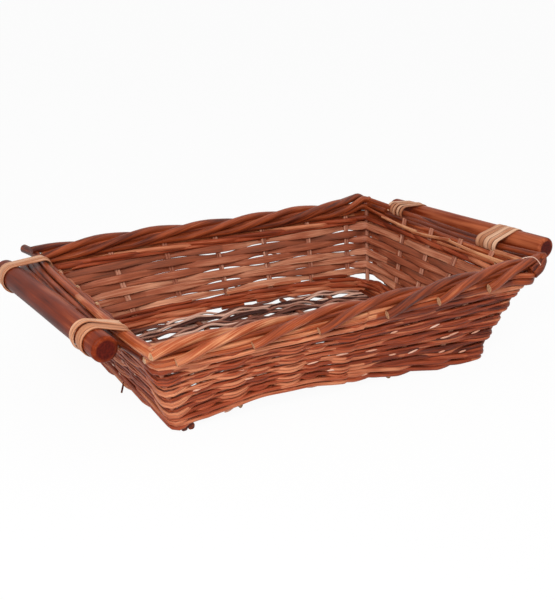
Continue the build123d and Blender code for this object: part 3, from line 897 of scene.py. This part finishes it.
def short_border(wall, rods, seed):
    """The thin border of a short wall. Darker rods run on under others, so they show no cut
    end."""
    bundle = Bundle()
    sign = wall.out[0]
    for number, (points, first, last, tone) in enumerate(rods):
        path = through(points) * (sign, 1, 1)
        t = np.linspace(0, 1, len(path))
        radius = first + (last - first) * t + waver(t, 1.2, 0.12, seed + number, (2, 3, 5))
        bundle.strand(path, (sign * 0.6, 0.0, 0.8), radius, radius * 0.95, sides=14,
                      tone=tone + waver(t, 1.2, 0.18, seed + 50 + number),
                      offset=(seed + number) * 17.0, cut=(tone > 0.2, tone > 0.2))
    bundle.build(f"{wall.name}_border_rods", rod_wood)


def border_bands():
    """Two smooth rods that run on round the basket under the border, outside. At the front
    right corner they stand out by 6 e^-(d / 14)^2."""
    bundle = Bundle()
    for seed, height, reach, thick in ((1400, 86.0, 4.6, 3.1), (1420, 91.0, 4.0, 2.6)):
        row = Row(height, OUTSIDE_ALL, reach, reach + 1.0, seed, wobble=0.9)
        path = row.beside(0.0, 6.0 * row.near(FRONT_RIGHT, 14.0))
        thick = thick * (1 + row.waver(0.14, seed + 3, (5, 8, 13, 21)))
        bundle.strand(path, row.out, thick, thick * 0.85, sides=11, tone=row.tone(seed) * 0.8,
                      offset=seed * 3.0, loop=True)
    bundle.build("border_bands", rod_wood, nodes=())


# Rods of the short walls: points, with X counted outwards, first and last radius, and tone.
# Tones below zero are painted shade, for the rods that lie in the shadow under the bars
LEFT_RODS = (
    (((214, 156, 95), (211, 138, 96), (211, 116, 96)), 4.3, 4.0, -0.2),
    (((211, 124, 97), (216, 70, 98.5), (217, 10, 98.5), (215, -20, 96)), 2.8, 3.3, 0.15),
    (((216, 12, 97.0), (217.5, -15, 99.5), (216.5, -70, 99), (213, -110, 98.5),
      (208.5, -137, 97.5)), 2.6, 5.6, 0.45),
    (((209, 128, 91), (214, 60, 92), (214, -60, 92), (208, -128, 90)), 3.4, 3.2, -0.2),
    (((216, 124, 93), (221, 80, 93.5), (223, 0, 95), (221, -80, 93), (212, -124, 91)),
     3.3, 3.4, -0.1),
    (((224, 126, 89), (230, 112, 90), (230, 50, 91.5), (226, -20, 93)), 4.2, 3.6, -0.15),
    (((219, 122, 91), (223.5, 100, 91), (224, 50, 91), (223, -30, 92)), 3.6, 3.4, -0.2),
    (((207, 126, 86), (210, 0, 86.5), (206, -126, 85)), 3.0, 3.0, 0.0),
    (((205, 128, 90.5), (206, 0, 90), (205, -128, 90)), 3.2, 3.2, 0.1),
)
RIGHT_RODS = (
    (((217, -136, 102), (216.5, -110, 99), (218, -75, 96), (221, -45, 91.5), (221, 30, 91.5),
      (216, 72, 96), (208, 108, 99.5), (203, 132, 101)), 3.7, 3.4, 0.1),
    (((206, -129, 94), (205.5, -104, 94.5), (207, -80, 93)), 3.4, 2.6, 0.75),
    (((221.5, -129, 101), (216.5, -135, 97), (209, -139, 92), (202, -139, 88)),
     4.6, 4.0, -0.15),
    (((214, -131, 99), (208, -135, 94.5), (199, -136, 91)), 4.6, 4.2, -0.25),
    (((215, 124, 94), (221, 60, 94), (222, -40, 94), (218, -118, 95)), 3.3, 3.4, -0.15),
    (((209, -128, 92), (214, -60, 91.5), (214, 60, 91.5), (208, 128, 93)), 3.4, 3.2, -0.2),
    (((207, -126, 86), (210, 0, 86), (206, 126, 87)), 3.0, 3.0, 0.0),
    (((208, -128, 90), (208.5, 0, 89.5), (206, 128, 91)), 2.8, 2.8, -0.1),
    (((207, 96, 93.5), (204, 126, 95.5), (195, 132, 97)), 4.2, 4.2, -0.1),
    (((199, 130, 93), (198, 80, 89), (197, 35, 85.5)), 2.2, 1.6, 0.3),
    (((196, 91, 90.0), (196, 60, 88), (197, 32, 87)), 1.3, 2.3, 0.95),
    (((196, 36, 86), (196.5, 10, 88), (198, -22, 92)), 1.8, 1.5, 0.8),
    (((198, -16, 91), (197.5, -60, 89), (199, -115, 89)), 1.4, 2.3, 1.0),
    (((196, -6, 86), (196, -50, 86.5), (198, -90, 86)), 1.3, 1.8, 0.7),
)
long_border(FRONT, FRONT_BUTTS, seed=700, rise=0.0, shade=0.0)
long_border(BACK, BACK_BUTTS, seed=900, rise=6.5, shade=0.33)
short_border(LEFT, LEFT_RODS, seed=1000)
short_border(RIGHT, RIGHT_RODS, seed=1050)
border_bands()


# ---------------- bars and bindings

# How far a bar sinks below the rim and how far it drifts outwards, each at its near and its
# far end, by the sign of its side
BAR_SHIFTS = {-1: ((0.0, 11.5), (0.0, 6.0)), 1: ((-1.0, 11.7), (0.0, 0.0))}

# X and Z of the middle of what a binding goes round besides the bar, and its radius
RIM_MIDDLE = (216.0, 96.5)
RIM_RADIUS = 6.6


def bar_axis(sign, y):
    """X, counted outwards, and Z of a bar's axis at y. Tied by hand, the bar sinks and drifts
    evenly from its near end to its far one."""
    share = (np.asarray(y) + BAR_HALF_LENGTH) / (2 * BAR_HALF_LENGTH)
    sink, drift = [first + (last - first) * share for first, last in BAR_SHIFTS[sign]]
    return BAR_X + drift, BAR_Z - sink


def handle_bar(name, sign):
    """A round bar: radius BAR_RADIUS with a slow waver, its ends rounded by BAR_END_ROUND."""
    bundle = Bundle()
    turn = np.linspace(0, math.pi / 2, 7)
    end = BAR_HALF_LENGTH - BAR_END_ROUND * (1 - np.cos(turn))
    end_radius = BAR_RADIUS - BAR_END_ROUND * (1 - np.sin(turn))
    between = np.linspace(-BAR_HALF_LENGTH + 6, BAR_HALF_LENGTH - 6, 90)
    y = np.concatenate([-end, between, end[::-1]])
    radius = np.concatenate([end_radius, np.full(90, BAR_RADIUS), end_radius[::-1]])
    radius = radius + waver(y, 260.0, 0.12, 1100 + sign, (1, 2, 3, 4))
    x, z = bar_axis(sign, y)
    bundle.strand(np.column_stack([sign * x, y, z]), UP, radius, radius, sides=48,
                  tone=0.48 + 0.3 * sign, offset=1200.0 * sign, dome=0.02)
    bundle.build(name, bar_wood)


def wrap_outline(clear, bar, count=96):
    """A band drawn tight round two circles, the bar and the border's outer rods: two arcs and
    the two straights that touch both, as X and Z, with outward directions."""
    bar, rim = np.array(bar), np.array(RIM_MIDDLE)
    bar_radius, rim_radius = BAR_RADIUS + clear, RIM_RADIUS + clear
    d = bar - rim
    base = math.atan2(d[1], d[0])
    spread = math.acos((rim_radius - bar_radius) / np.linalg.norm(d))
    bar_turn = np.linspace(base - spread, base + spread, count // 2)
    rim_turn = np.linspace(base + spread, base - spread + TURN, count // 2)
    rows = []
    for middle, radius, turn in ((bar, bar_radius, bar_turn), (rim, rim_radius, rim_turn)):
        out = np.column_stack([np.cos(turn), np.sin(turn)])
        rows.append(np.hstack([middle + radius * out, out]))
    rows = np.vstack([*rows, rows[0][:1]])
    run = running_length(rows[:, :2])
    rows = read_along(np.linspace(0, run[-1], count), run, rows)
    return rows[:, :2], unit(rows[:, 2:])


def cane_binding(name, sign, turns, seed):
    """Turns of flat cane round a bar and the border, each drifting along the bar."""
    bundle = Bundle()
    for number, (first, last, wide, clear) in enumerate(turns):
        place, out = wrap_outline(clear, bar_axis(sign, (first + last) / 2))
        y = np.linspace(first, last, len(place))
        path = np.column_stack([sign * place[:, 0], y, place[:, 1]])
        outs = np.column_stack([sign * out[:, 0], 0 * y, out[:, 1]])
        rng = np.random.default_rng(seed + number)
        bundle.strand(path, outs, wide / 2, 0.45, **FLAT, tone=rng.uniform(0.3, 0.95),
                      offset=rng.uniform(0, GRAIN_RUN))
    bundle.build(name, cane)


# Name, side and seed of each binding; Y where each turn begins and ends, its width, and how
# far it stands off
BINDINGS = (
    ("left_far", -1, 1200, ((99.0, 101.5, 8.8, 0.7), (90.0, 92.5, 8.4, 1.0),
                            (86.0, 101.0, 3.4, 1.7))),
    ("left_near", -1, 1220, ((-77.0, -75.0, 3.6, 0.7), (-83.0, -79.0, 4.6, 1.1),
                             (-92.5, -88.0, 8.6, 0.7), (-99.0, -96.0, 3.4, 0.8),
                             (-80.0, -92.0, 3.2, 1.8))),
    ("right_far", 1, 1240, ((71.5, 72.5, 4.4, 0.7), (77.4, 78.2, 4.2, 0.7),
                            (83.2, 84.0, 4.4, 0.8), (89.0, 89.6, 4.2, 0.7),
                            (94.6, 95.0, 4.0, 0.7), (74.0, 88.0, 3.6, 1.6))),
    ("right_near", 1, 1260, ((-53.0, -52.4, 5.4, 0.7), (-58.8, -58.2, 5.4, 0.8),
                             (-64.8, -64.0, 5.6, 0.7), (-70.8, -70.0, 5.4, 0.8),
                             (-76.6, -75.8, 5.2, 0.7))),
)
handle_bar("handle_bar_left", -1)
handle_bar("handle_bar_right", 1)
for name, sign, seed, turns in BINDINGS:
    cane_binding(f"binding_{name}", sign, turns, seed)


# ---------------- loose ends

# Split ends on the front wall, as X and Z; how many lie on each other wall, and how far out
FRONT_TIPS = (
    (-46.4, 43.2), (-14.9, 47.7), (19.6, 46), (48.7, 36.6), (75, 35), (-45.9, 20.2),
    (19.1, 18.5), (-126, 54.2), (-164, 45.4), (-112.7, 40.9), (156.5, 39.1), (113.9, 42.7),
    (123.7, 44.1), (146.5, 21.6), (116.1, 27.6), (-125.8, 7.0), (-24.3, 19.0), (-11.4, 20.5),
    (92, 58), (-70, 63), (40, 62), (-20, 30),
)
OTHER_TIPS = ((RIGHT, 9, 95), (BACK, 14, 165), (LEFT, 9, 95))


def split_tips():
    """Pale ends of splits that lie on the walls outside: each a sliver that thins as
    0.25 + 0.75 (1 - t^2) towards its ends, lying along the wall and turned up a little."""
    bundle = Bundle()
    rng = np.random.default_rng(1500)
    places = [(FRONT, x, z) for x, z in FRONT_TIPS]
    places += [(wall, rng.uniform(-0.85, 0.85) * reach, rng.uniform(14, 72))
               for wall, count, reach in OTHER_TIPS for _ in range(count)]
    t = np.linspace(-1, 1, 9)
    for number, (wall, place, height) in enumerate(places):
        half = rng.uniform(3.0, 6.5)
        level = height + half * t * rng.uniform(0.05, 0.3)
        away = half_sizes(level)[int(wall.is_long)] + 5.6 + 0.6 * t
        bundle.strand(on_wall(wall, place + half * t, away, level), wall.out,
                      0.25 + 0.75 * (1 - t * t), 0.3, sides=6, tone=rng.uniform(0.2, 0.9),
                      offset=number * 40.0)
    bundle.build("split_tips", fresh_split, nodes=())


def loose_end(name, material, points, count, out, radius, sides, tone):
    """One thin stray end along a few points."""
    bundle = Bundle()
    bundle.strand(through(points, count), out, radius, radius, sides=sides, tone=tone)
    bundle.build(name, material, nodes=())


split_tips()
# A thin twig that stands out under the left wall
loose_end("loose_twig", stake_wood,
          ((-178, -4, 10.5), (-181.5, -8, 6), (-185.5, -13, 1.2)),
          count=20, out=(-1.0, 0.0, 0.2), radius=0.9, sides=7, tone=-0.6)
# A fine fibre that has come away at the front right corner
loose_end("loose_fibre", fresh_split,
          ((182, -139, 108), (193, -140, 108.5), (200, -141, 105), (206, -142, 97)),
          count=30, out=(0.0, -1.0, 0.2), radius=0.45, sides=6, tone=0.9)


# ---------------- floor, light and camera

# In metres and degrees
FLOOR_HALF = 40.0
LAMP_TARGET = (0, 0, 0.05)
CAMERA_PLACE = (-0.4698, -0.7235, 0.383)
CAMERA_YAW, CAMERA_PITCH, CAMERA_ROLL = 32.43, 20.8, 1.44


def finish_bright(s, plain, bright, share, end):
    """Ends a material or the world: plain where light falls, and by share bright where a
    camera, glossy or transmission ray looks."""
    kinds = ("Is Camera Ray", "Is Glossy Ray", "Is Transmission Ray")
    camera_ray, glossy, clear = [s.node("ShaderNodeLightPath", output=kind) for kind in kinds]
    seen = (camera_ray + glossy + clear).math("MINIMUM", 1.0) * share
    s.node(end, {}, {"Surface": s.node("ShaderNodeMixShader", {}, [seen, plain, bright])})
    return s.owner


def stage():
    """A wide plain floor: shaded as usual, and near white where it is looked at."""
    s = Shader(bpy.data.materials.new("pale_floor"))
    matte = s.node("ShaderNodeBsdfDiffuse", {}, {"Color": (0.86, 0.86, 0.86, 1)})
    glow = s.node("ShaderNodeEmission", {}, {"Color": (1, 1, 1, 1), "Strength": 1.0})
    mesh = bpy.data.meshes.new("floor")
    mesh.from_pydata(np.array(CORNER_SIGNS) * FLOOR_HALF, [], [(0, 1, 2, 3)])
    mesh.materials.append(finish_bright(s, matte, glow, 0.95, "ShaderNodeOutputMaterial"))
    floor = bpy.data.objects.new("floor", mesh)
    bpy.context.scene.collection.objects.link(floor)


def backdrop_world():
    """An even pale sky that shows as white."""
    s = Shader(bpy.data.worlds.new("studio"))
    soft, white = [s.node("ShaderNodeBackground", {}, {"Color": (1, 1, 1, 1), "Strength": value})
                   for value in (0.42, 1.0)]
    bpy.context.scene.world = finish_bright(s, soft, white, 1.0, "ShaderNodeOutputWorld")


def placed(name, data, place, right, up, back):
    """A lamp's or camera's object at a place, with its own X, Y and Z along right, up and
    back."""
    made = bpy.data.objects.new(name, data)
    rows = [[right[k], up[k], back[k], place[k]] for k in range(3)]
    made.matrix_world = Matrix([*rows, [0, 0, 0, 1]])
    bpy.context.scene.collection.objects.link(made)
    return made


def lamp(name, place, size, power):
    """A square soft lamp aimed at the basket."""
    data = bpy.data.lights.new(name, "AREA")
    data.shape, data.size, data.energy = "SQUARE", size, power
    back = unit(np.array(place, float) - np.array(LAMP_TARGET, float))
    right = unit(np.cross(UP, back))
    placed(name, data, place, right, np.cross(back, right), back)


def camera():
    """The photograph's view: yaw and pitch aim it, and roll turns it about its own axis."""
    data = bpy.data.cameras.new("view")
    data.lens, data.sensor_width = 54.8, 36.0
    data.clip_start, data.clip_end = 0.01, 50
    yaw, pitch, roll = (math.radians(v) for v in (CAMERA_YAW, CAMERA_PITCH, CAMERA_ROLL))
    level = math.cos(pitch)
    ahead = np.array([math.sin(yaw) * level, math.cos(yaw) * level, -math.sin(pitch)])
    right = np.array([math.cos(yaw), -math.sin(yaw), 0.0])
    up = np.cross(right, ahead)
    cos, sin = math.cos(roll), math.sin(roll)
    right, up = right * cos + up * sin, up * cos - right * sin
    bpy.context.scene.camera = placed("view", data, CAMERA_PLACE, right, up, -ahead)


bpy.context.scene.view_settings.view_transform = "Standard"
stage()
backdrop_world()
lamp("key", (-0.62, -0.72, 0.68), size=0.45, power=8.8)
lamp("fill", (0.7, -0.3, 1.6), size=1.2, power=5.5)
camera()
